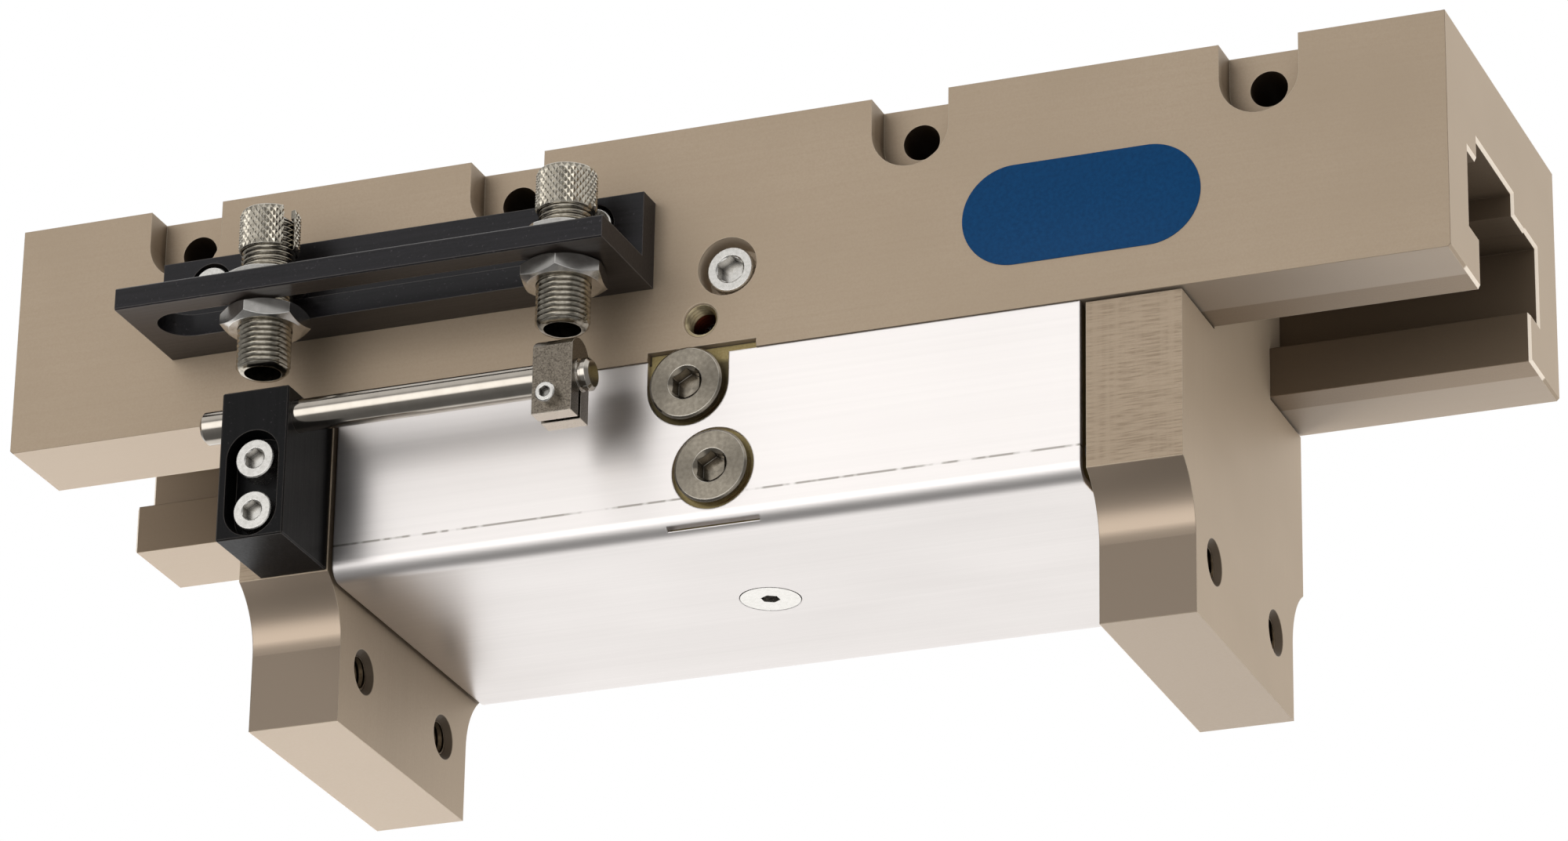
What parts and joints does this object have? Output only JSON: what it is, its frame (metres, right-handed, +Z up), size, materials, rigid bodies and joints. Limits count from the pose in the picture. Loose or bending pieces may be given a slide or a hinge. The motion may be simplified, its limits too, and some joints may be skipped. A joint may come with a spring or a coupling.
{
  "type": "small parts gripper",
  "caption": "Long-stroke pneumatic parallel gripper: T-slot housing, sliding base jaws, sheet-covered cylinder block and a sensor bracket with threaded sleeves.",
  "frame": {"origin": "centre of the flat top mounting face of the housing", "axes": "+X along the housing to the right jaw, +Y from the sensor side to the back, +Z up out of the top face, jaws hang down"},
  "size_m": [0.22, 0.075, 0.0824],
  "materials": {
    "tan_anodised": "hard-anodised, satin with fine machining lines",
    "gold_anodised": "anodised, satin",
    "plain_aluminium": "turned",
    "stainless_sheet": "bright rolled sheet",
    "black_anodised": "black anodised aluminium, satin",
    "zinc_steel": "zinc plated",
    "tool_steel": "ground, oiled",
    "turned_steel": "face turned",
    "hard_chrome": "ground and chromed",
    "nickel_brass": "nickel plated",
    "bronze": "sintered bronze",
    "copper": "soft copper",
    "seal_rubber": "nitrile rubber"
  },
  "bodies": {
    "gripper_body": {"housing": "tan_anodised", "pinion_axle": "tool_steel", "pinion_washer": "bronze", "cylinder_block": "gold_anodised", "duct_plugs": "zinc_steel", "right_gland": "bronze", "left_gland": "bronze", "rod_seals": "seal_rubber", "retaining_rings": "tool_steel", "upper_port_plug": "turned_steel", "lower_port_plug": "turned_steel", "plug_seals": "copper", "cover_sheet": "stainless_sheet", "cover_screw": "zinc_steel", "block_screws": "zinc_steel", "set_screws": "tool_steel", "sensor_bracket": "black_anodised", "bracket_screws": "zinc_steel", "left_sensor_sleeve": "nickel_brass", "right_sensor_sleeve": "nickel_brass", "lower_nuts": "zinc_steel", "upper_nuts": "zinc_steel"},
    "right_jaw": {"right_base_jaw": "tan_anodised", "right_rack": "tool_steel", "right_rack_screws": "zinc_steel", "right_piston": "plain_aluminium", "right_piston_seal": "seal_rubber", "right_piston_nut": "zinc_steel", "right_piston_rod": "hard_chrome"},
    "left_jaw": {"left_base_jaw": "tan_anodised", "left_rack": "tool_steel", "left_rack_screws": "zinc_steel", "left_piston": "plain_aluminium", "left_piston_seal": "seal_rubber", "left_piston_nut": "zinc_steel", "left_piston_rod": "hard_chrome", "cam_holder": "black_anodised", "cam_holder_screws": "zinc_steel", "cam_rod": "hard_chrome", "cam_clamp": "nickel_brass", "cam_clamp_screw": "zinc_steel"},
    "drive_pinion": {"pinion": "tool_steel"},
    "left_cap": {"left_knurled_cap": "nickel_brass"},
    "right_cap": {"right_knurled_cap": "nickel_brass"}
  },
  "joints": [
    {"name": "right_jaw_slide", "type": "slide", "parent": "gripper_body", "child": "right_jaw", "axis": [1, 0, 0], "range_m": [0, 0.04]},
    {"name": "left_jaw_slide", "type": "slide", "parent": "gripper_body", "child": "left_jaw", "axis": [-1, 0, 0], "range_m": [0, 0.04]},
    {"name": "pinion_turn", "type": "hinge", "parent": "gripper_body", "child": "drive_pinion", "pos_m": [0, -0.0038, -0.0147], "axis": [0, 0, 1], "range_deg": [-486, 0]},
    {"name": "left_cap_turn", "type": "hinge", "parent": "gripper_body", "child": "left_cap", "pos_m": [-0.0636, -0.039, -0.0124], "axis": [0, 0, 1], "range_deg": [0, 360]},
    {"name": "right_cap_turn", "type": "hinge", "parent": "gripper_body", "child": "right_cap", "pos_m": [-0.0168, -0.039, -0.0132], "axis": [0, 0, 1], "range_deg": [0, 360]}
  ],
  "couplings": [
    {"joint": "left_jaw_slide", "follows": "right_jaw_slide", "ratio": 1},
    {"joint": "pinion_turn", "follows": "right_jaw_slide", "rad_per_m": -208.33}
  ]
}
